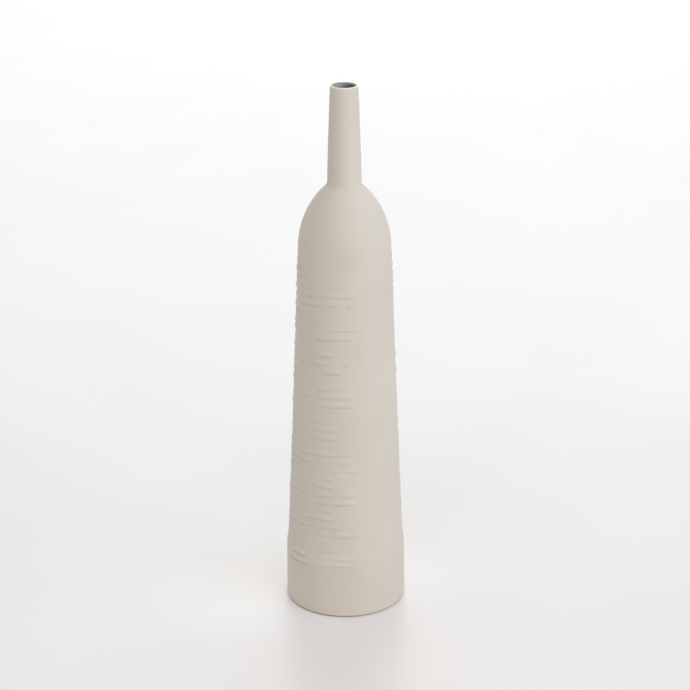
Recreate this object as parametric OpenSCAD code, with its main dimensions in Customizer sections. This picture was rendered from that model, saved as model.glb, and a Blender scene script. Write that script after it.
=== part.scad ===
// Tall bottle-shaped ceramic bud vase, built as a potter luts it together from leather-hard
// sections. Origin: centre of the resting face. +Z runs up the axis to the mouth.
// Every section is a ring turned about the axis and joins the next one in a stepped lap
// joint that is glued with a ring of slip.

/* [Overall] */
// Height from the resting face to the top of the lip
vase_h = 420; // [390:1:450]
// Thickness of the clay wall
wall_t = 4.5; // [4:0.1:5]

/* [Foot band] */
// Outer radius of the plain band at its lower edge
foot_r = 47.6; // [47.2:0.1:50]
// Outer radius of the band at its upper edge
band_top_r = 47.2; // [47:0.1:47.6]
// Height of the band's upper edge above the resting face
band_h = 44; // [30:1:60]
// Rounding of the band's lower outer edge
band_round = 0.8; // [0.4:0.1:1.2]
// Rounding of the band's upper outer edge, which the body wall meets
seam_round = 0.3; // [0.2:0.05:0.6]

/* [Base disc] */
// Thickness of the floor slab
floor_t = 5.5; // [4.5:0.1:7]
// How far the turned foot ring stands below the band
ring_h = 1; // [0.6:0.1:2]
// How far the foot ring is set in from the band's lower edge
ring_inset = 1.6; // [1:0.1:3]
// Width of the foot ring
ring_w = 9; // [6:0.5:12]
// Depth of the turned recess under the floor
recess_d = 1.5; // [1:0.1:2.5]
// Radius of the smoothed clay coil in the corner of floor and wall
coil_r = 6; // [4:0.5:8]

/* [Body wall] */
// Outer radius of the wall just above the band
wall_base_r = 46.4; // [45.4:0.1:46.6]
// Outer radius of the wall where the shoulder starts
wall_top_r = 35.9; // [34:0.1:38]
// How far the wall bows inwards at mid height
wall_sag = 0.35; // [0:0.05:0.8]
// How far the wall flares out where it is smeared onto the band
flare = 0.6; // [0:0.05:0.8]
// Height over which the flare dies out
flare_h = 14; // [8:1:18]

/* [Throwing ribs] */
// Distance from one rib to the next
rib_pitch = 6.7; // [5.5:0.1:8]
// Height that the strongest rib stands out of the wall
rib_rise = 0.5; // [0.1:0.05:0.7]
// Width of a rib
rib_w = 4.4; // [3:0.1:5]

/* [Shoulder] */
// Radius of the shoulder's arc
dome_r = 66.6; // [62:0.2:72]

/* [Neck] */
// Length of the neck, from the shoulder's corner to the top of the lip
neck_len = 76; // [60:1:90]
// Outer radius of the neck at its root
neck_root_r = 13.1; // [12.8:0.1:14]
// Outer radius of the neck at the lip
lip_r = 10.6; // [10:0.1:11.5]
// Radius of the mouth, inside the glaze
mouth_r = 8.5; // [7.5:0.1:8.7]

/* [Joints and glaze] */
// Overlap of each lap joint
lap_h = 6; // [4:0.5:7]
// Thickness of the slip ring in each lap joint
slip_t = 0.5; // [0.3:0.1:0.8]
// Thickness of the glaze that lines the inside
glaze_t = 0.3; // [0.2:0.05:0.5]
// Height of bare clay between the glaze's edge and the top of the lip
lip_bare = 1.2; // [1.1:0.1:4]

/* [Hidden] */
$fn = 128;

matte_glaze = "#CCC5B8";
bare_clay = "#B9A98F";
fired_slip = "#A8987E";
grey_glaze = "#9C958D";

cavity_r = wall_base_r - wall_t;
floor_z = ring_h + floor_t;
neck_z = vase_h - neck_len;
dome_centre_r = wall_top_r - dome_r;
shoulder_z = neck_z - sqrt(pow(dome_r, 2) - pow(neck_root_r - dome_centre_r, 2));
bore_r = mouth_r + glaze_t;
lip_round = (lip_r - mouth_r) / 2;

// Outer radius of each joint's slip ring: it lies in the middle of the wall
foot_lap_r = cavity_r + (wall_t + slip_t) / 2;
shoulder_lap_r = wall_top_r - (wall_t - slip_t) / 2;
neck_lap_r = (neck_root_r + bore_r) / 2;

wall_steps = 24;
rib_steps = 8;
rib_first_z = band_h + rib_pitch;
rib_count = floor((shoulder_z - rib_w - rib_first_z) / rib_pitch);

// How far up the wall a height lies, from 0 at the band to 1 at the shoulder
function wall_part(z) = (z - band_h) / (shoulder_z - band_h);

// Radius of the wall without ribs or flare
function wall_r(z) = wall_base_r + (wall_top_r - wall_base_r) * wall_part(z)
    - wall_sag * sin(180 * wall_part(z));

// Extra radius where the wall is smeared out onto the band, falling off in a soft S
function flare_at(z) =
    let (t = min(1, (z - band_h) / flare_h))
        flare * pow(1 - t, 2) * (1 + 2 * t);

// The hand's pressure changes from turn to turn, so no two ribs are equally high
function rib_strength(k) = 0.55 + 0.45 * abs(sin(137 * k));

// Section of a rib from its lower edge, 0, to its upper edge, 1: steep below and long above,
// because the fingers drew the clay upwards
function rib_section(t) = pow(sin(180 * sqrt(t)), 2);

// Outline points of one rib, from its lower edge to its upper edge
function rib_points(k) = [
    for (s = [0 : rib_steps])
        let (z = rib_first_z + k * rib_pitch + rib_w * s / rib_steps)
            [wall_r(z) + flare_at(z) + rib_rise * rib_strength(k) * rib_section(s / rib_steps), z]
];

// Everything between two heights, out to beyond the widest section
module level(z_low, z_high) {
    translate([0, z_low]) square([2 * foot_r, z_high - z_low]);
}

// Rectangle between two radii and two heights
module ring_section(r_in, r_out, z_low, z_high) {
    translate([r_in, z_low]) square([r_out - r_in, z_high - z_low]);
}

// The corner left outside a quarter circle; in_r and up_z give the side its centre lies on
module corner(r, z, radius, in_r, up_z) {
    difference() {
        translate([in_r > 0 ? r - radius : r, up_z > 0 ? z : z - radius]) square(radius);
        translate([r - in_r * radius, z + up_z * radius]) circle(r = radius);
    }
}

// The hollow inside the vase, shrunk by the thickness of a lining
module cavity(lining) {
    difference() {
        ring_section(0, cavity_r - lining, floor_z + lining, band_h);
        difference() {
            ring_section(cavity_r - coil_r, cavity_r, floor_z, floor_z + coil_r);
            translate([cavity_r - coil_r, floor_z + coil_r]) circle(r = coil_r - lining);
        }
    }
    polygon(concat(
        [[0, band_h]],
        [for (s = [0 : wall_steps])
            let (z = band_h + (shoulder_z - band_h) * s / wall_steps)
                [wall_r(z) - wall_t - lining, z]],
        [[0, shoulder_z]]
    ));
    intersection() {
        translate([dome_centre_r, shoulder_z]) circle(r = dome_r - wall_t - lining);
        level(shoulder_z, neck_z - lap_h - lining);
    }
    ring_section(0, bore_r - lining, neck_z - 2 * lap_h, vase_h - lip_bare);
    ring_section(0, mouth_r, vase_h - lip_bare, vase_h);
}

// Floor slab with a turned foot ring and a shallow recess under it
module base_disc() {
    color(bare_clay) rotate_extrude() difference() {
        union() {
            ring_section(0, foot_r - ring_inset, 0, ring_h);
            ring_section(0, cavity_r, ring_h, floor_z);
        }
        ring_section(0, foot_r - ring_inset - ring_w, 0, recess_d);
    }
}

// Coil of clay smoothed into the inner corner to seal the floor to the band
module base_coil() {
    color(fired_slip) rotate_extrude()
        corner(cavity_r, floor_z, coil_r, 1, 1);
}

// Plain band round the foot, with a socket for the body wall in its upper edge
module foot_band() {
    color(matte_glaze) rotate_extrude() difference() {
        polygon([[cavity_r, ring_h], [foot_r, ring_h], [band_top_r, band_h], [cavity_r, band_h]]);
        ring_section(0, foot_lap_r, band_h - lap_h, band_h);
        corner(foot_r, ring_h, band_round, 1, 1);
        corner(band_top_r, band_h, seam_round, 1, -1);
    }
}

// Tapering wall with the ribs that the potter's fingers left
module body_wall() {
    color(matte_glaze) rotate_extrude() {
        difference() {
            polygon(concat(
                [[0, band_h], [wall_r(band_h) + flare_at(band_h), band_h]],
                [for (k = [0 : rib_count - 1]) each rib_points(k)],
                [[wall_top_r, shoulder_z], [0, shoulder_z]]
            ));
            cavity(0);
            ring_section(0, shoulder_lap_r, shoulder_z - lap_h, shoulder_z);
        }
        ring_section(cavity_r, foot_lap_r - slip_t, band_h - lap_h, band_h);
    }
}

// Dome that closes the wall in to the root of the neck
module shoulder() {
    color(matte_glaze) rotate_extrude() difference() {
        union() {
            intersection() {
                translate([dome_centre_r, shoulder_z]) circle(r = dome_r);
                level(shoulder_z, neck_z);
            }
            ring_section(0, shoulder_lap_r - slip_t, shoulder_z - lap_h, shoulder_z);
        }
        cavity(0);
        ring_section(0, neck_lap_r, neck_z - lap_h, neck_z);
    }
}

// Narrow tapering neck with a fully rounded lip
module neck() {
    color(matte_glaze) rotate_extrude() {
        difference() {
            union() {
                polygon([[0, neck_z], [neck_root_r, neck_z],
                         [lip_r, vase_h - lip_round], [0, vase_h - lip_round]]);
                ring_section(0, neck_lap_r - slip_t, neck_z - lap_h, neck_z);
            }
            cavity(0);
        }
        translate([lip_r - lip_round, vase_h - lip_round]) circle(r = lip_round);
    }
}

// Satin glaze that was poured in and drained, so that it lines the whole inside
module liner_glaze() {
    color(grey_glaze) rotate_extrude() difference() {
        cavity(0);
        cavity(glaze_t);
        level(vase_h - lip_bare, vase_h);
    }
}

// Ring of slip that glues one lap joint, between the spigot and its socket
module slip_joint(outer_r, top_z) {
    color(fired_slip) rotate_extrude()
        ring_section(outer_r - slip_t, outer_r, top_z - lap_h, top_z);
}

module foot_slip_joint() slip_joint(foot_lap_r, band_h);
module shoulder_slip_joint() slip_joint(shoulder_lap_r, shoulder_z);
module neck_slip_joint() slip_joint(neck_lap_r, neck_z);

base_disc();
base_coil();
foot_band();
foot_slip_joint();
body_wall();
shoulder_slip_joint();
shoulder();
neck_slip_joint();
neck();
liner_glaze();
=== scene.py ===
import math

import bpy
import numpy as np
from mathutils import Matrix, Vector


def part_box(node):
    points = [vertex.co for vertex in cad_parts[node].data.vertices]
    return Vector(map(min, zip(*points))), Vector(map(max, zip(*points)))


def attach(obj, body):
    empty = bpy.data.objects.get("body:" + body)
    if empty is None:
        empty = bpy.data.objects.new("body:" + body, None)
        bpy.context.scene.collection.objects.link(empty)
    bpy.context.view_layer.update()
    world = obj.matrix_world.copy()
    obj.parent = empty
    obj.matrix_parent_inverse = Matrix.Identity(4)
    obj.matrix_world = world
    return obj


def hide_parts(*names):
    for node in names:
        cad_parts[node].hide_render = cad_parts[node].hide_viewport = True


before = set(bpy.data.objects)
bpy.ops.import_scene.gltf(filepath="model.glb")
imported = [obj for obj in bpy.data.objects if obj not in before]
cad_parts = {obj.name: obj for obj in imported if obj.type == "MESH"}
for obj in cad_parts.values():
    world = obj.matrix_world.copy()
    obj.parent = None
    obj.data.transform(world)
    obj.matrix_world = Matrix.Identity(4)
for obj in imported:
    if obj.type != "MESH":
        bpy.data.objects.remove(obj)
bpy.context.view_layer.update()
MM = 0.001
TURN = 2 * math.pi
SAME_HEIGHT = 0.02 * MM     # points this close in height are at one height
AT_AXIS = 0.001 * MM        # a ring smaller than this is a single point


# ---------------------------------------------------------------- sizes, taken from the frame

def reach(node, height=None):
    """Smallest and greatest distance from the axis of a CAD node's points, at one height or at all."""
    points = np.array([v.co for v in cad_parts[node].data.vertices])
    if height is not None:
        points = points[abs(points[:, 2] - height) < SAME_HEIGHT]
    distance = np.hypot(points[:, 0], points[:, 1])
    return float(distance.min()), float(distance.max())


def levels(node):
    """Lowest and highest point of a CAD node."""
    low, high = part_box(node)
    return low.z, high.z


TOP = levels("neck")[1]
BAND_LOW, BAND_TOP = levels("foot_band")
WALL_TOP = levels("body_wall")[1]
NECK_FOOT = levels("shoulder")[1]
FLOOR_TOP = levels("base_disc")[1]
GLAZE_TOP = levels("liner_glaze")[1]
LAP = BAND_TOP - levels("foot_slip_joint")[0]       # how deep one section sits in the next

CAVITY_R, BAND_FOOT_R = reach("foot_band")
INNER_TOP_R, WALL_TOP_R = reach("shoulder", WALL_TOP)
WALL_T = WALL_TOP_R - INNER_TOP_R
WALL_BASE_R = CAVITY_R + WALL_T
NECK_FOOT_R = reach("neck", NECK_FOOT)[1]
LIP_MID_R = sum(reach("neck", TOP)) / 2
MOUTH_R, BORE_R = reach("liner_glaze", GLAZE_TOP)
GLAZE_T = BORE_R - MOUTH_R
RECESS_R, DISC_R = reach("base_disc", 0.0)
COIL_R = levels("base_coil")[1] - FLOOR_TOP
FOOT_LAP = reach("foot_slip_joint")                 # inner and outer radius of each slip joint
SHOULDER_LAP = reach("shoulder_slip_joint")
NECK_LAP = reach("neck_slip_joint")


# ---------------------------------------------------------------- the vase's form

BAND_TAPER = 0.4 * MM       # the foot band leans in by this much
WALL_SAG = 0.35 * MM        # the wall bows in at mid height
FLARE_H = 14 * MM           # the wall is smeared out onto the band over this height
SOFTEN = 3 * MM             # the corner of wall and shoulder, which grow together with no edge
NECK_BELLY = 0.2 * MM       # the neck bows out at mid height
FILLET = 1.3 * MM           # the corner at the foot of the neck
CORNER_REACH = 3            # a corner is soft as far away as this many times its size
CORNER_STEPS = np.linspace(-2, 2, 17)               # its radii are averaged over these, in its size
BAND_ROUND = 0.8 * MM       # the lower edge of the band
DISC_ROUND = 0.4 * MM       # the edges of the base disc
RECESS_D = 1.5 * MM         # the hollow under the base

BAND_TOP_R = BAND_FOOT_R - BAND_TAPER
LIP_ROUND = LIP_MID_R - MOUTH_R
LIP_R = LIP_MID_R + LIP_ROUND
RISE = NECK_FOOT - WALL_TOP
RUN = WALL_TOP_R - NECK_FOOT_R
DOME_R = (RISE ** 2 + RUN ** 2) / (2 * RUN)
DOME_CENTRE = WALL_TOP_R - DOME_R


def wall_radius(z):
    """Outer radius of the tapering wall."""
    part = (z - BAND_TOP) / (WALL_TOP - BAND_TOP)
    return WALL_BASE_R + (WALL_TOP_R - WALL_BASE_R) * part - WALL_SAG * np.sin(math.pi * part)


def dome_radius(z, radius=DOME_R):
    """Outer radius of the shoulder, or with another radius, of an arc round the same centre."""
    return DOME_CENTRE + np.sqrt(radius ** 2 - np.clip(z - WALL_TOP, 0, RISE) ** 2)


def neck_radius(z):
    """Outer radius of the neck, up to where the lip's round edge starts."""
    part = np.clip((z - NECK_FOOT) / (TOP - LIP_ROUND - NECK_FOOT), 0, 1)
    return NECK_FOOT_R + (LIP_R - NECK_FOOT_R) * part + NECK_BELLY * np.sin(math.pi * part)


def soft_step(t):
    """0 up to t = 0 and 1 from t = 1, with a soft rise between."""
    t = np.clip(t, 0, 1)
    return t * t * (3 - 2 * t)


def sharp_form(z):
    """Outer radius at a height, with its corners still sharp."""
    band = np.interp(z, [BAND_LOW, BAND_TOP], [BAND_FOOT_R, BAND_TOP_R])
    flare = (BAND_TOP_R - WALL_BASE_R) * soft_step(1 - (z - BAND_TOP) / FLARE_H)
    body = np.where(z < BAND_TOP, band, wall_radius(z) + flare)
    return np.where(z > NECK_FOOT, neck_radius(z), np.where(z > WALL_TOP, dome_radius(z), body))


def hill(offset, width):
    """1 at offset 0, falling to almost 0 at 2 widths."""
    return np.exp(-(offset / width) ** 2)


def form_radius(z):
    """Outer radius at a height, as thrown: the form with its two soft corners and no finger marks.
    Near a corner it is the average of the radii a little above and below."""
    size = SOFTEN * hill(z - WALL_TOP, CORNER_REACH * SOFTEN)
    size = size + FILLET * hill(z - NECK_FOOT, CORNER_REACH * FILLET)
    weights = hill(CORNER_STEPS, 1)
    return sum(w * sharp_form(z + s * size) for w, s in zip(weights, CORNER_STEPS)) / weights.sum()


# ---------------------------------------------------------------- the marks of the hand

SEGMENTS = 192
AZIMUTH = np.arange(SEGMENTS) * TURN / SEGMENTS     # 0 is the front, and a quarter turn is the right
AZIMUTH_DEG = np.degrees(AZIMUTH)
ROW_H = 0.55 * MM           # between rows of points where the finger marks are
SHOULDER_ROW_H = 1.4 * ROW_H
NECK_ROW_H = 1.8 * ROW_H
CORNER_ROW_H = 0.25 * MM    # and within CORNER_H of the corner at the foot of the neck
CORNER_H = 4 * MM
rng = np.random.default_rng(11)                     # the finger marks are drawn from this, in turn

RIB_PITCH = 6.76 * MM
RIB_COUNT = 38
RIB_RISE = 0.75 * MM        # of a deep mark
FIRST_RIB = BAND_TOP - 0.5 * MM - RIB_PITCH         # rib 0, which lies on the foot band
DROOP = 3.0 * MM            # how much lower the ribs lie at the left than anywhere else

# The section of a mark up the wall: a crest with a long slope above it, a short one below, and a
# groove under that.
SLOPE_ABOVE, SLOPE_BELOW = 2.4 * MM, 1.1 * MM
GROOVE_DROP, GROOVE_W = 2.2 * MM, 1.15 * MM
GROOVE_DEPTH = 0.7          # in parts of the crest
FADE_IN, FADE_OUT = 0.24, 0.18                      # the parts of a mark over which its ends taper
MARK_REACH = 8 * MM         # further than this from its line, a mark is too faint to count

# No two marks are the same: they stray by about this much in height and slope, and their section is
# this many times as high.
HEIGHT_SPREAD, SLOPE_SPREAD = 0.22, 0.3             # in millimetres
SECTION_SCALE = (0.8, 1.2)

# The marks round the back start at LOW_RIB, grow stronger from there up, and lie between about
# BACK_START and BACK_END. Each is drawn from a range for its span in degrees, its depth in parts of
# the strength, and the gap to the next, which is an overlap where it is below 0.
LOW_RIB = 2
LOW_STRENGTH, HIGH_STRENGTH = 0.55, 1.35
BACK_START, START_SPREAD = 84, 11
BACK_END, END_SPREAD = 294, 4
BACK_SPAN, BACK_DEPTH, BACK_GAP = (24, 60), (0.2, 1), (-6, 4)
LEAST_LEFT = 15             # no mark starts this near to BACK_END, in degrees

# The faint marks round the front. The one at the right is fixed, as (start, end, rise), and the
# others are drawn from a range for each.
FAINT_RIGHT = (9, 79, 0.06)
FAINT_DRAWN = [((-80, -66), (-46, -24), (0.1, 0.4)), ((-50, -36), (-16, 6), (0.03, 0.15))]

# Where the fingers pressed at the front: for each rib from the foot up, marks as
# (start, end, depth), in degrees round from the front and thirds of a deep mark. The marks at 2.1
# lie a little above rib 2.
FRONT_MARKS = {
    0: [(-30, -13, 1.0), (-7, 4, 0.7)],
    1.2: [(-76, -38, 4.6), (-42, -11, 1.4), (-15, 7, 2.0)],
    2.1: [(-66, -42, 4.8), (-31, -14, 1.0), (-13, 12, 1.6)],
    3.1: [(-32, -9, 1.5), (-10, 2, 0.5)],
    4.1: [(-28, -18, 1.1)],
    5: [(-31, -19, 1.7), (-15, 16, 2.0)],
    6: [(-78, -38, 2.2), (-32, -15, 1.9), (-17, -5, 2.0), (1, 9, 1.1)],
    7: [(-54, -30, 2.0), (-32, -13, 2.4)],
    8: [(-29, -14, 1.7)],
    9: [(-36, -14, 1.4), (-16, 12, 2.5)],
    10: [(-77, -44, 2.4), (-32, -14, 2.2), (-8, 9, 1.8)],
    11: [(-35, -12, 2.5)],
    12: [(-24, -14, 1.9)],
    13: [(-26, -13, 1.5), (-15, 7, 0.8), (4, 12, 1.7)],
    14: [(-77, -36, 2.2), (-34, -17, 1.0), (-9, 1, 2.1), (0, 8, 0.9)],
    15: [(-66, -38, 1.6), (-40, -19, 1.3), (-29, -7, 2.0), (-9, 9, 1.1)],
    17: [(-34, -10, 2.0), (-12, 9, 0.8)],
    18: [(-38, -9, 1.7)],
    19: [(-7, 1, 0.9)],
    21: [(-32, 14, 1.8)],
    22: [(-68, -38, 1.6), (-33, 9, 1.8)],
    23: [(-35, -18, 2.5), (-20, 3, 1.1), (10, 18, 0.8)],
    25: [(-28, -5, 2.8)],
    26: [(-42, -20, 1.9), (-3, 4, 1.0)],
    27: [(-36, -12, 2.4), (-14, 6, 0.6)],
    29: [(-37, -13, 2.4), (-19, 15, 1.6)],
    30: [(-32, -17, 0.9), (-21, 15, 1.7)],
    31: [(-37, -26, 1.0)],
    33: [(-64, -26, 1.9), (-24, -8, 1.8), (-10, 1, 0.8)],
    34: [(-70, -18, 1.6), (-23, 12, 2.2)],
}
INSET = 0.15 * MM           # the skin between the marks lies this far inside the form
INSET_H = 10 * MM           # and grows to it over this height at the band and at the neck
UNEVEN = 0.002              # how far the wall strays from round, in parts of its radius
WAVE_TURNS = (0, 1, 2, 3)   # it strays in waves, with this many round the wall
WAVE_PITCHES = (20, 45, 90)                         # and this many radians of wave a metre up it
WAVE_CAP = 6                # the sum of all waves that strays the furthest

# Pinholes in the glaze: degrees round from the front, height, depth.
PINHOLES = [(-57, 208 * MM, 1.0 * MM), (4, 257 * MM, 1.0 * MM), (1, 211 * MM, 0.4 * MM)]
PINHOLE_R = 1.1 * MM


class Stroke:
    """One finger mark. start and end are in degrees round from the front, rise in deep marks."""

    def __init__(self, rib, start, end, rise):
        self.start = start
        self.span = end - start
        self.rise = rise * RIB_RISE
        self.height = FIRST_RIB + rib * RIB_PITCH + rng.normal(0, HEIGHT_SPREAD) * MM
        self.slope = rng.normal(0, SLOPE_SPREAD) * MM
        self.width = rng.uniform(*SECTION_SCALE)


def faint_strokes(rib):
    """What little shows of a rib round the front, between the deep marks."""
    strokes = [Stroke(rib, *FAINT_RIGHT)]
    for start, end, rise in FAINT_DRAWN:
        strokes.append(Stroke(rib, rng.uniform(*start), rng.uniform(*end), rng.uniform(*rise)))
    return strokes


def back_strokes(rib):
    """A rib's marks round the back, one after the other, where the fingers pressed all the way."""
    strength = np.interp(rib, [LOW_RIB, RIB_COUNT], [LOW_STRENGTH, HIGH_STRENGTH])
    strokes = []
    start = BACK_START + rng.normal(0, START_SPREAD)
    while start < BACK_END - LEAST_LEFT:
        end = start + rng.uniform(*BACK_SPAN)
        shown_end = min(end, BACK_END + rng.normal(0, END_SPREAD))
        strokes.append(Stroke(rib, start, shown_end, strength * rng.uniform(*BACK_DEPTH)))
        start = end + rng.uniform(*BACK_GAP)
    return strokes


def plan_strokes():
    """Every finger mark: first the deep ones at the front, and then rib by rib the others."""
    strokes = [Stroke(rib, start, end, depth / 3) for rib, marks in FRONT_MARKS.items()
               for start, end, depth in marks]
    for rib in range(LOW_RIB, RIB_COUNT):
        strokes += faint_strokes(rib) + back_strokes(rib)
    return strokes


def stroke_relief(z, stroke):
    """How far one finger mark stands out, at heights z all round."""
    part = ((AZIMUTH_DEG - stroke.start) % 360) / stroke.span
    fade = soft_step(part / FADE_IN) * soft_step((1 - part) / FADE_OUT)
    droop = DROOP * np.minimum(np.sin(AZIMUTH), 0) ** 2
    line = stroke.height + stroke.slope * (part - 0.5) - droop
    above = (z[:, None] - line[None, :]) / stroke.width
    crest = hill(above, np.where(above < 0, SLOPE_BELOW, SLOPE_ABOVE))
    groove = GROOVE_DEPTH * hill(above + GROOVE_DROP, GROOVE_W)
    return stroke.rise * fade * (crest - groove)


def pinhole_relief(z, azimuth, height, depth):
    """How far one pinhole stands out, which is below 0, at heights z all round."""
    around = (AZIMUTH_DEG - azimuth + 180) % 360 - 180
    across = np.radians(around) * float(form_radius(height))
    return -depth * hill(np.hypot(z[:, None] - height, across[None, :]), PINHOLE_R)


def relief(z):
    """How far the finger marks stand out of the form, one row for each height."""
    out = np.zeros((len(z), SEGMENTS))
    for stroke in STROKES:
        rows = np.flatnonzero(abs(z - stroke.height) < DROOP + MARK_REACH)
        if len(rows):
            out[rows] += stroke_relief(z[rows], stroke)
    for azimuth, height, depth in PINHOLES:
        out += pinhole_relief(z, azimuth, height, depth)
    return out


def unevenness(z):
    """How far the skin strays at heights z, because no hand-made wall is quite round or straight."""
    wave = sum(size * np.sin(turns * AZIMUTH[None, :] + pitch * z[:, None] + phase)
               for turns, pitch, phase, size in WAVES)
    return UNEVEN * form_radius(z)[:, None] * np.clip(wave / WAVE_CAP, -1, 1)


def skin(low, high, step):
    """Rings of the outer surface from one height to another, with every mark of the hand."""
    z = np.linspace(low, high, 1 + round((high - low) / step))
    marks = relief(z)
    inset = INSET * soft_step((z - BAND_TOP) / INSET_H) * soft_step((NECK_FOOT - z) / INSET_H)
    radius = np.minimum((form_radius(z) - inset)[:, None] + marks + unevenness(z), BAND_FOOT_R)
    return [Ring(r, h, marks=m / RIB_RISE) for r, h, m in zip(radius, z, marks)]


def plan_waves(chance):
    """Slow waves round and up the wall, as (turns, pitch, phase, size)."""
    return [(turns, pitch, chance.uniform(0, TURN), chance.normal())
            for turns in WAVE_TURNS for pitch in WAVE_PITCHES]


STROKES = plan_strokes()
WAVES = plan_waves(np.random.default_rng(5))


# ---------------------------------------------------------------- turning meshes

class Ring:
    """One ring of a turned piece: radius and height as numbers or one value per segment."""

    def __init__(self, radius, height, edge=False, marks=0.0):
        self.radius = np.broadcast_to(radius, SEGMENTS).astype(float)
        self.height = np.broadcast_to(height, SEGMENTS).astype(float)
        self.marks = np.broadcast_to(marks, SEGMENTS).astype(float)
        self.edge = edge


def sharp(radius, height):
    """A ring where the surface has an edge."""
    return Ring(radius, height, edge=True)


def edged(rings):
    """The same rings, with an edge at the first and the last."""
    rings[0].edge = rings[-1].edge = True
    return rings


def arc(centre_r, centre_z, radius, start, end, steps=7):
    """Rings of a round corner. Angles are in degrees, 0 outwards and 90 up."""
    angles = np.radians(np.linspace(start, end, steps))
    return [Ring(centre_r + radius * math.cos(a), centre_z + radius * math.sin(a)) for a in angles]


def turned(node, rings, material):
    """A closed piece turned about the axis, standing for a CAD node. The rings go round its section:
    out along the bottom, up the outside, in over the top and down the inside."""
    radius = np.array([ring.radius for ring in rings])
    height = np.array([ring.height for ring in rings])
    points = np.stack([radius * np.sin(AZIMUTH), -radius * np.cos(AZIMUTH), height], -1).reshape(-1, 3)
    index = np.arange(len(points)).reshape(len(rings), SEGMENTS)
    on_axis = radius.max(1) < AT_AXIS
    index[on_axis] = index[on_axis, :1]
    above = np.roll(index, -1, 0)
    quads = np.stack([index, np.roll(index, -1, 1), np.roll(above, -1, 1), above], -1).reshape(-1, 4)
    faces = [list(dict.fromkeys(quad)) for quad in quads.tolist()]
    faces = [face for face in faces if len(face) > 2]
    used = np.unique([corner for face in faces for corner in face])
    new_index = np.zeros(len(points), int)
    new_index[used] = np.arange(len(used))
    mesh = bpy.data.meshes.new(node + "_shape")
    mesh.from_pydata(points[used].tolist(), [], [new_index[face].tolist() for face in faces])
    mesh.polygons.foreach_set("use_smooth", [True] * len(mesh.polygons))
    mark_edges(mesh, used // SEGMENTS, [i for i, ring in enumerate(rings) if ring.edge])
    marks = mesh.attributes.new("marks", "FLOAT", "POINT")
    marks.data.foreach_set("value", np.concatenate([ring.marks for ring in rings])[used])
    mesh.materials.append(material)
    piece = bpy.data.objects.new(node + "_turned", mesh)
    bpy.context.scene.collection.objects.link(piece)
    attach(piece, "root")
    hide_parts(node)
    return piece


def mark_edges(mesh, ring_of, edge_rings):
    """Marks as sharp the mesh edges that run along the given rings."""
    ends = np.zeros(len(mesh.edges) * 2, int)
    mesh.edges.foreach_get("vertices", ends)
    rings = ring_of[ends.reshape(-1, 2)]
    mark = mesh.attributes.new("sharp_edge", "BOOLEAN", "EDGE")
    mark.data.foreach_set("value", (rings[:, 0] == rings[:, 1]) & np.isin(rings[:, 0], edge_rings))


# ---------------------------------------------------------------- materials

def new_material(name):
    """An empty material and its node tree."""
    material = bpy.data.materials.new(name)
    material.use_nodes = True
    material.node_tree.nodes.clear()
    return material, material.node_tree


def feed(tree, socket, value):
    """Gives a socket a value, or links it to another node's output."""
    if isinstance(value, bpy.types.NodeSocket):
        tree.links.new(value, socket)
    else:
        socket.default_value = value


def add_node(tree, kind, settings=(), **inputs):
    """Adds a shader node. An input is a value or another node's output, and _ in its name is a space."""
    made = tree.nodes.new(kind)
    for name, value in settings:
        setattr(made, name, value)
    for name, value in inputs.items():
        feed(tree, made.inputs[name.replace("_", " ")], value)
    return made


def place(tree, scale=(1, 1, 1), shift=(0, 0, 0)):
    """Object coordinates, stretched by scale and moved by shift."""
    coordinates = add_node(tree, "ShaderNodeTexCoord")
    mapping = add_node(tree, "ShaderNodeMapping", Vector=coordinates.outputs["Object"], Scale=scale,
                       Location=shift)
    return mapping.outputs["Vector"]


def noise(tree, scale, detail=2.0, stretch=(1, 1, 1)):
    """A noise between 0 and 1, finer along an axis where stretch is larger."""
    where = place(tree, stretch)
    return add_node(tree, "ShaderNodeTexNoise", Vector=where, Scale=scale, Detail=detail).outputs["Fac"]


def along(tree, axis):
    """The object coordinate along one axis."""
    return add_node(tree, "ShaderNodeSeparateXYZ", Vector=place(tree)).outputs[axis]


def length(tree, vector):
    """The length of a vector."""
    made = add_node(tree, "ShaderNodeVectorMath", [("operation", "LENGTH")], Vector=vector)
    return made.outputs["Value"]


def spread(tree, value, low, high, to_low, to_high):
    """value between low and high, mapped to to_low and to_high."""
    made = add_node(tree, "ShaderNodeMapRange", Value=value, From_Min=low, From_Max=high,
                    To_Min=to_low, To_Max=to_high)
    return made.outputs["Result"]


# A Mix node has several sockets of each name, so the ones for colours go by number.
MIX_AMOUNT, MIX_FIRST, MIX_SECOND, MIX_RESULT = 0, 6, 7, 2


def blend(tree, amount, first, second):
    """The first colour, turning into the second as amount goes from 0 to 1."""
    made = add_node(tree, "ShaderNodeMix", [("data_type", "RGBA")])
    feed(tree, made.inputs[MIX_AMOUNT], amount)
    feed(tree, made.inputs[MIX_FIRST], first)
    feed(tree, made.inputs[MIX_SECOND], second)
    return made.outputs[MIX_RESULT]


def bump(tree, height, distance, strength=1.0, under=None):
    """A normal with this relief, its distance in metres, on top of another bump if one is given."""
    made = add_node(tree, "ShaderNodeBump", Height=height, Distance=distance, Strength=strength)
    if under is not None:
        feed(tree, made.inputs["Normal"], under)
    return made.outputs["Normal"]


def surface(tree, **inputs):
    """Ends a material with its Principled shader."""
    shader = add_node(tree, "ShaderNodeBsdfPrincipled", **inputs)
    add_node(tree, "ShaderNodeOutputMaterial", Surface=shader.outputs["BSDF"])


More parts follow.
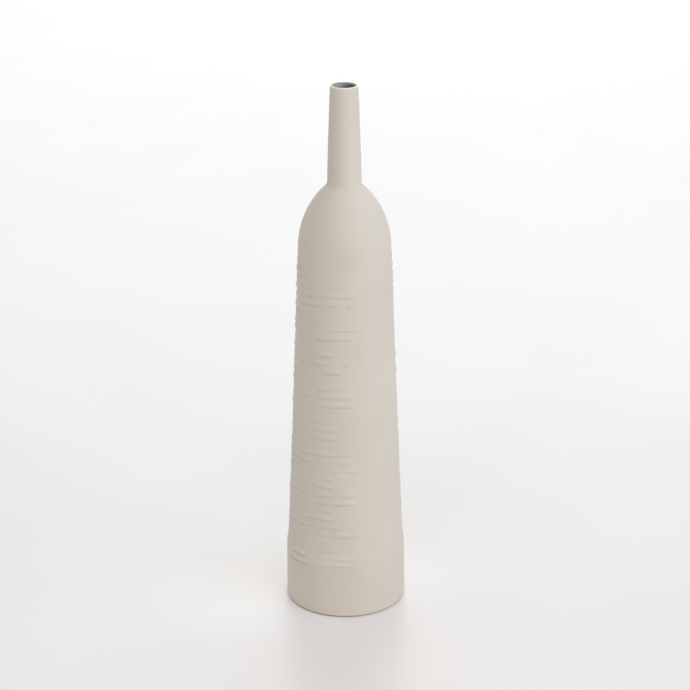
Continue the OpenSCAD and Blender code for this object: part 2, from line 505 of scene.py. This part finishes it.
# Colours, in linear light.
GREIGE, GREIGE_DEEP = (0.702, 0.630, 0.535, 1), (0.675, 0.603, 0.507, 1)
FRECKLE = (0.42, 0.35, 0.27, 1)
# Groove and crest tints: partly pooled and thin glaze, partly painted shade and painted highlight on the
# ribs.
GROOVE_POOL_AND_SHADE, CREST_THIN_AND_HIGHLIGHT = (0.45, 0.38, 0.30, 1), (0.74, 0.70, 0.62, 1)
# The top of the lip: partly thin pale glaze, partly a painted highlight.
LIP_THIN_AND_HIGHLIGHT = (0.88, 0.86, 0.83, 1)
# The liner is darker than the outside glaze: partly a darker glaze, partly painted shade inside the
# narrow neck.
LINER_COLOUR = (0.33, 0.30, 0.265, 1)
# Painted light and shade inside the mouth: the lit left side and the shaded right side.
LINER_PAINTED_LIGHT, LINER_PAINTED_SHADE = (0.60, 0.55, 0.49, 1), (0.15, 0.13, 0.11, 1)
CLAY, CLAY_DEEP = (0.47, 0.375, 0.28, 1), (0.39, 0.30, 0.215, 1)
IRON = (0.12, 0.08, 0.055, 1)
SLIP, SLIP_DEEP = (0.52, 0.43, 0.33, 1), (0.44, 0.35, 0.26, 1)
# Painted light: the floor's colour is lighter far back than near the camera.
FLOOR_NEAR, FLOOR_FAR = (0.81, 0.795, 0.78, 1), (0.875, 0.862, 0.852, 1)
FLOOR_CLOUD = (0.9, 0.88, 0.88, 1)

# Soft patches of painted light, shade and reflection in the floor's colour, as (x, y, inner radius,
# outer radius, tint), in parts of the height: painted shade darker at the right, a warmer painted
# reflection of the vase in front, and painted light at the left and beside the foot, which lightens the
# shadow there.
PAINTED_FLOOR_PATCHES = [
    (0.5, 0, 0.4, 1.2, (0.79, 0.76, 0.73, 1)),
    (0, -0.28, 0.05, 0.3, (0.855, 0.79, 0.745, 1)),
    (-0.32, 0.22, 0, 0.5, (0.868, 0.85, 0.838, 1)),
    (-0.1, 0.04, 0.02, 0.34, (0.93, 0.905, 0.88, 1)),
]


def matte_glaze():
    """The outside: a dry greige glaze, mottled, with fine grain. Its ribs are paler on the crests and
    darker in the grooves, partly thin and pooled glaze and partly painted highlight and shade, and the
    top of the lip is paler, partly thin glaze and partly a painted highlight.
    """
    material, tree = new_material("matte_glaze")
    mottle = spread(tree, noise(tree, 22, 3), 0.35, 0.65, 0, 1)
    colour = blend(tree, mottle, GREIGE, GREIGE_DEEP)
    freckles = spread(tree, noise(tree, 1100, 1), 0.70, 0.78, 0, 0.12)
    colour = blend(tree, freckles, colour, FRECKLE)
    marks = add_node(tree, "ShaderNodeAttribute", [("attribute_name", "marks")]).outputs["Fac"]
    # Partly painted shade: the grooves under the ribs are darkened, partly by pooled glaze and partly as
    # painted shade of their lower slopes.
    colour = blend(tree, spread(tree, marks, -0.1, -1.0, 0, 0.30), colour, GROOVE_POOL_AND_SHADE)
    # Partly painted highlight: the crests are paler, partly by thin glaze and partly as painted
    # highlight.
    colour = blend(tree, spread(tree, marks, 0.2, 1.0, 0, 0.2), colour, CREST_THIN_AND_HIGHLIGHT)
    # Partly painted highlight: the top of the lip is paler, partly by thin glaze and partly as a painted
    # highlight where it faces up.
    thin_lip_and_highlight = spread(tree, along(tree, "Z"), TOP - 0.9 * LIP_ROUND, TOP - 0.4 * LIP_ROUND, 0, 1)
    colour = blend(tree, thin_lip_and_highlight, colour, LIP_THIN_AND_HIGHLIGHT)
    # The inner edge of the lip turns into the liner's colour, which is partly painted shade.
    from_axis = length(tree, place(tree, (1, 1, 0)))
    edge_r, inner_r = LIP_MID_R - 0.35 * LIP_ROUND, LIP_MID_R - 0.65 * LIP_ROUND
    colour = blend(tree, spread(tree, from_axis, edge_r, inner_r, 0, 1), colour, LINER_COLOUR)
    turning = noise(tree, 30, 3, (1, 1, 26))
    grain = noise(tree, 1500, 3)
    normal = bump(tree, turning, 0.00025, 0.35)
    normal = bump(tree, grain, 0.0001, 0.26, normal)
    roughness = spread(tree, noise(tree, 260, 3), 0.3, 0.7, 0.58, 0.74)
    surface(tree, Base_Color=colour, Roughness=roughness, Normal=normal, Sheen_Weight=0.22)
    return material


def liner_glaze():
    """The inside: a satin glaze that has run a little, with painted light and shade: lighter at the left
    of the mouth and darker at the right.
    """
    material, tree = new_material("liner_glaze")
    # Painted light and shade: lighter at the left of the mouth and darker at the right, as if lit from
    # the right.
    painted_side_light = spread(tree, along(tree, "X"), -0.9 * MOUTH_R, 0.5 * MOUTH_R, 0, 1)
    colour = blend(tree, painted_side_light, LINER_PAINTED_LIGHT, LINER_PAINTED_SHADE)
    runs = spread(tree, noise(tree, 60, 3, (1, 1, 0.2)), 0.3, 0.7, 0, 0.3)
    colour = blend(tree, runs, colour, LINER_COLOUR)
    normal = bump(tree, noise(tree, 180, 2), 0.0004, 0.3)
    roughness = spread(tree, noise(tree, 400, 2), 0.3, 0.7, 0.28, 0.40)
    surface(tree, Base_Color=colour, Roughness=roughness, Normal=normal)
    return material


def bare_clay():
    """Unglazed stoneware: sandy, with iron specks and the rings of the turning tool."""
    material, tree = new_material("bare_clay")
    sand = spread(tree, noise(tree, 90, 4), 0.3, 0.7, 0, 1)
    colour = blend(tree, sand, CLAY, CLAY_DEEP)
    specks = spread(tree, noise(tree, 900, 1), 0.68, 0.74, 0, 0.8)
    colour = blend(tree, specks, colour, IRON)
    rings = add_node(tree, "ShaderNodeTexWave", [("wave_type", "RINGS"), ("rings_direction", "Z")],
                     Vector=place(tree), Scale=170, Distortion=1.5, Detail=2.0).outputs["Fac"]
    normal = bump(tree, rings, 0.0003, 0.4)
    normal = bump(tree, noise(tree, 1300, 3), 0.0002, 0.7, normal)
    roughness = spread(tree, noise(tree, 500, 2), 0.3, 0.7, 0.82, 0.95)
    surface(tree, Base_Color=colour, Roughness=roughness, Normal=normal)
    return material


def fired_slip():
    """The slip and the soft coil that lute the sections together: finer and paler than the clay."""
    material, tree = new_material("fired_slip")
    smear = spread(tree, noise(tree, 120, 3, (1, 1, 3)), 0.3, 0.7, 0, 1)
    colour = blend(tree, smear, SLIP, SLIP_DEEP)
    normal = bump(tree, noise(tree, 700, 3), 0.0002, 0.5)
    roughness = spread(tree, noise(tree, 300, 2), 0.3, 0.7, 0.78, 0.92)
    surface(tree, Base_Color=colour, Roughness=roughness, Normal=normal)
    return material


def patch(tree, colour, x, y, inner, outer, tint):
    """colour with a soft round patch of a tint in it. Its place and radii are in parts of the height."""
    away = length(tree, place(tree, shift=(-x * TOP, -y * TOP, 0)))
    made = add_node(tree, "ShaderNodeMapRange", [("interpolation_type", "SMOOTHSTEP")], Value=away,
                    From_Min=inner * TOP, From_Max=outer * TOP, To_Min=1, To_Max=0)
    return blend(tree, made.outputs["Result"], colour, tint)


def studio_floor():
    """A pale, faintly glossy floor, with painted light that makes it lighter further back, and soft
    patches of painted light, shade and reflection round the vase.
    """
    material, tree = new_material("studio_floor")
    # Painted light: the floor grows lighter further back, standing in for the light falling there.
    painted_back_light = spread(tree, along(tree, "Y"), 0, 2 * TOP, 0, 1)
    colour = blend(tree, painted_back_light, FLOOR_NEAR, FLOOR_FAR)
    # Painted light, shade and reflection: soft patches round the vase.
    for x, y, inner, outer, tint in PAINTED_FLOOR_PATCHES:
        colour = patch(tree, colour, x, y, inner, outer, tint)
    colour = blend(tree, spread(tree, noise(tree, 1.5, 2), 0, 1, 0, 0.1), colour, FLOOR_CLOUD)
    roughness = spread(tree, noise(tree, 6, 2), 0.3, 0.7, 0.32, 0.38)
    surface(tree, Base_Color=colour, Roughness=roughness)
    return material


# ---------------------------------------------------------------- the pieces

def cavity_radius(z, lining=0.0):
    """Inner radius of the body below the dome, inside a lining of that thickness."""
    part = np.clip((z - BAND_TOP) / (WALL_TOP - BAND_TOP), 0, 1)
    return CAVITY_R + (INNER_TOP_R - CAVITY_R) * part - lining


def cavity(low, high, step=8 * MM, lining=0.0):
    """Rings of the cavity wall between two heights, going the way the heights do."""
    heights = np.linspace(low, high, 1 + max(1, round(abs(high - low) / step)))
    return [Ring(cavity_radius(z, lining), z) for z in heights]


def inner_dome(low, high, lining=0.0):
    """Rings of the underside of the dome between two heights, going the way the heights do."""
    return [Ring(dome_radius(z, DOME_R - WALL_T - lining), z) for z in np.linspace(low, high, 14)]


GLAZE_WANDER = 0.2 * MM     # the edge of the liner glaze wanders up and down by this
GLAZE_EDGE_H = 3 * MM       # and is rolled, down to this far below the glaze's top

# The rolled edge, as (how far out from the mouth's radius, how far below the glaze line).
GLAZE_EDGE = [(0.4 * GLAZE_T, 0.02 * MM), (0, 0.45 * GLAZE_T), (-0.1 * MM, 1.2 * MM)]


def glaze_line():
    """Height of the edge of the liner glaze, which wanders a little round the mouth."""
    return GLAZE_TOP - GLAZE_WANDER * (1 + np.sin(AZIMUTH * 3 + 1))


def base_disc(material):
    """The floor slab, with a foot ring round the recess in its underside."""
    rings = [Ring(0, RECESS_D)]
    rings += [Ring(r, RECESS_D) for r in np.linspace(0.15, 0.95, 12) * RECESS_R]
    rings += arc(RECESS_R - DISC_ROUND, RECESS_D - DISC_ROUND, DISC_ROUND, 90, 0, 5)
    rings += arc(RECESS_R + DISC_ROUND, DISC_ROUND, DISC_ROUND, 180, 270, 5)
    rings += arc(DISC_R - DISC_ROUND, DISC_ROUND, DISC_ROUND, 270, 360, 5)
    rings += [sharp(DISC_R, BAND_LOW), sharp(CAVITY_R, BAND_LOW)]
    rings += [sharp(CAVITY_R, FLOOR_TOP), Ring(0, FLOOR_TOP)]
    return turned("base_disc", rings, material)


def foot_band(material):
    """The plain band, with a rounded lower edge and a socket for the wall."""
    outside = skin(BAND_LOW + BAND_ROUND, BAND_TOP, ROW_H)
    outside[-1].edge = True
    foot = outside[0].radius - BAND_ROUND
    under = [Ring(foot + BAND_ROUND * math.cos(a), BAND_LOW + BAND_ROUND * (1 - math.sin(a)))
             for a in np.radians([90, 70, 50, 30, 15])]
    rings = [sharp(CAVITY_R, BAND_LOW)] + under + outside
    rings += [sharp(FOOT_LAP[1], BAND_TOP), sharp(FOOT_LAP[1], BAND_TOP - LAP)]
    rings += edged(cavity(BAND_TOP - LAP, BAND_LOW))[:-1]
    return turned("foot_band", rings, material)


def body_wall(material):
    """The tapering wall, with a spigot below and a socket above."""
    spigot = BAND_TOP - LAP
    rings = [sharp(CAVITY_R, spigot), sharp(FOOT_LAP[0], spigot), sharp(FOOT_LAP[0], BAND_TOP)]
    rings += edged(skin(BAND_TOP, WALL_TOP, ROW_H))
    rings += [sharp(SHOULDER_LAP[1], WALL_TOP), sharp(SHOULDER_LAP[1], WALL_TOP - LAP)]
    rings += edged(cavity(WALL_TOP - LAP, spigot))[:-1]
    return turned("body_wall", rings, material)


def shoulder(material):
    """The dome, with a spigot below and a socket above."""
    spigot = WALL_TOP - LAP
    rings = [sharp(cavity_radius(spigot), spigot), sharp(SHOULDER_LAP[0], spigot)]
    rings += [sharp(SHOULDER_LAP[0], WALL_TOP)]
    dome = skin(WALL_TOP, NECK_FOOT - CORNER_H, SHOULDER_ROW_H)[:-1]
    rings += edged(dome + skin(NECK_FOOT - CORNER_H, NECK_FOOT, CORNER_ROW_H))
    rings += [sharp(NECK_LAP[1], NECK_FOOT), sharp(NECK_LAP[1], NECK_FOOT - LAP)]
    rings += edged(inner_dome(NECK_FOOT - LAP, WALL_TOP))
    return turned("shoulder", rings, material)


LIP_STEPS = 15


def neck(material):
    """The neck, with a spigot below. Its lip starts from the uneven outside and ends round."""
    spigot = NECK_FOOT - LAP
    rings = [sharp(BORE_R, spigot), sharp(NECK_LAP[0], spigot), sharp(NECK_LAP[0], NECK_FOOT)]
    outside = skin(NECK_FOOT, NECK_FOOT + CORNER_H, CORNER_ROW_H)[:-1]
    outside += skin(NECK_FOOT + CORNER_H, TOP - LIP_ROUND, NECK_ROW_H)
    outside[0].edge = True
    lip = arc(LIP_MID_R, TOP - LIP_ROUND, LIP_ROUND, 0, 180, LIP_STEPS)
    for part, ring in zip(np.linspace(1, 0, LIP_STEPS), lip):
        ring.radius = ring.radius + part * (outside[-1].radius - LIP_R)
    rings += outside[:-1] + lip
    rings += [sharp(MOUTH_R, glaze_line()), sharp(BORE_R, glaze_line())]
    return turned("neck", rings, material)


def liner(material):
    """The lining: its outside lies on the clay and its inside a glaze thickness further in."""
    coil_r, coil_z = CAVITY_R - COIL_R, FLOOR_TOP + COIL_R
    under_neck = NECK_FOOT - LAP
    rings = [Ring(0, FLOOR_TOP)]
    rings += arc(coil_r, coil_z, COIL_R, 270, 360, 8)
    rings += cavity(coil_z, WALL_TOP)[1:] + inner_dome(WALL_TOP, under_neck)[1:]
    rings[-1].edge = True
    rings += [sharp(BORE_R, under_neck), sharp(BORE_R, glaze_line())]
    rings += [Ring(MOUTH_R + out, glaze_line() - down) for out, down in GLAZE_EDGE]
    bore = np.linspace(GLAZE_TOP - GLAZE_EDGE_H, under_neck - GLAZE_T, 20)
    rings += [Ring(MOUTH_R, z) for z in bore]
    rings[-1].edge = True
    rings += edged(inner_dome(under_neck - GLAZE_T, WALL_TOP, GLAZE_T))[:-1]
    rings += cavity(WALL_TOP, coil_z, lining=GLAZE_T)
    rings += arc(coil_r, coil_z, COIL_R - GLAZE_T, 360, 270, 8)[1:] + [Ring(0, FLOOR_TOP + GLAZE_T)]
    return turned("liner_glaze", rings, material)


def finish_joints(material):
    """The slip joints and the base coil are right as they are, and get their material."""
    for name in ("base_coil", "foot_slip_joint", "shoulder_slip_joint", "neck_slip_joint"):
        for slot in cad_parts[name].material_slots:
            slot.material = material


# ---------------------------------------------------------------- studio

VIEW_DISTANCE = 3.45 * TOP
VIEW_HEIGHT = 1.846 * TOP
VIEW_PITCH = math.radians(21.19)
VIEW_ROLL = math.radians(-0.2)
FOCAL_LENGTH = 104.3        # in millimetres, on a sensor 36 wide
GROUND_SIDES = 64
GROUND_RADII = (0.5, 2, 8, 30)                      # in parts of the height

WHITE, SKY = (1, 1, 1), (0.66, 0.8, 1.0)

# The softboxes, as (name, power, colour, size, azimuth, elevation, distance).
SOFTBOXES = [
    ("key", 12.5, WHITE, 2.2, 35, 35, 2.4),
    ("side", 20, SKY, 2.2, 68, 30, 2.4),
    ("front", 10, WHITE, 2.2, -5, 35, 2.4),
    ("left_back", 5, WHITE, 2.0, -120, 30, 2.4),
    ("right_back", 4.5, WHITE, 2.0, 140, 35, 2.4),
    ("painted_back_light", 11, WHITE, 2.0, 180, 35, 2.8),
    ("horizon", 21, WHITE, 2.5, 180, 15, 3.5),
]
AMBIENT = 0.46              # the strength of the light from all round


def studio_camera():
    """The camera, at the photograph's viewing angle."""
    data = bpy.data.cameras.new("camera")
    data.sensor_width = 36
    data.lens = FOCAL_LENGTH
    data.clip_end = 100
    view = bpy.data.objects.new("camera", data)
    bpy.context.scene.collection.objects.link(view)
    look = Matrix.Rotation(math.pi / 2 - VIEW_PITCH, 4, "X") @ Matrix.Rotation(VIEW_ROLL, 4, "Z")
    view.matrix_world = Matrix.Translation((0, -VIEW_DISTANCE, VIEW_HEIGHT)) @ look
    bpy.context.scene.camera = view


def studio_ground():
    """A round floor, of a fan of triangles and rings of squares that grow outwards."""
    radii = np.array(GROUND_RADII) * TOP
    angles = np.arange(GROUND_SIDES) * TURN / GROUND_SIDES
    points = [(0, 0, 0)] + [(r * math.cos(a), r * math.sin(a), 0) for r in radii for a in angles]
    sides = [(i, (i + 1) % GROUND_SIDES) for i in range(GROUND_SIDES)]
    faces = [(0, 1 + i, 1 + after) for i, after in sides]
    for ring in range(len(radii) - 1):
        low = 1 + GROUND_SIDES * ring
        high = low + GROUND_SIDES
        faces += [(low + i, high + i, high + after, low + after) for i, after in sides]
    mesh = bpy.data.meshes.new("studio_floor")
    mesh.from_pydata(points, [], faces)
    mesh.materials.append(studio_floor())
    ground = bpy.data.objects.new("studio_floor", mesh)
    bpy.context.scene.collection.objects.link(ground)


def softbox(name, power, colour, size, azimuth, elevation, distance):
    """A square softbox aimed at the middle of the vase, with its azimuth in degrees from the front
    round to the right, and its size and distance in metres."""
    data = bpy.data.lights.new(name, "AREA")
    data.energy = power
    data.color = colour
    data.size = size
    box = bpy.data.objects.new(name, data)
    bpy.context.scene.collection.objects.link(box)
    a, e = math.radians(azimuth), math.radians(elevation)
    away = Vector((math.sin(a) * math.cos(e), -math.cos(a) * math.cos(e), math.sin(e)))
    centre = Vector((0, 0, TOP / 2)) + away * distance
    facing = away.to_track_quat("Z", "Y").to_matrix().to_4x4()
    box.matrix_world = Matrix.Translation(centre) @ facing
    box.visible_camera = False


def studio_light():
    """The softboxes, and a white light from all round."""
    for box in SOFTBOXES:
        softbox(*box)
    world = bpy.data.worlds.new("studio")
    world.use_nodes = True
    background = world.node_tree.nodes["Background"]
    background.inputs["Color"].default_value = (1.0, 1.0, 1.0, 1)
    background.inputs["Strength"].default_value = AMBIENT
    bpy.context.scene.world = world
    bpy.context.scene.view_settings.view_transform = "Standard"


# ---------------------------------------------------------------- making it all

outer_glaze = matte_glaze()
base_disc(bare_clay())
foot_band(outer_glaze)
body_wall(outer_glaze)
shoulder(outer_glaze)
neck(outer_glaze)
liner(liner_glaze())
finish_joints(fired_slip())
studio_camera()
studio_ground()
studio_light()
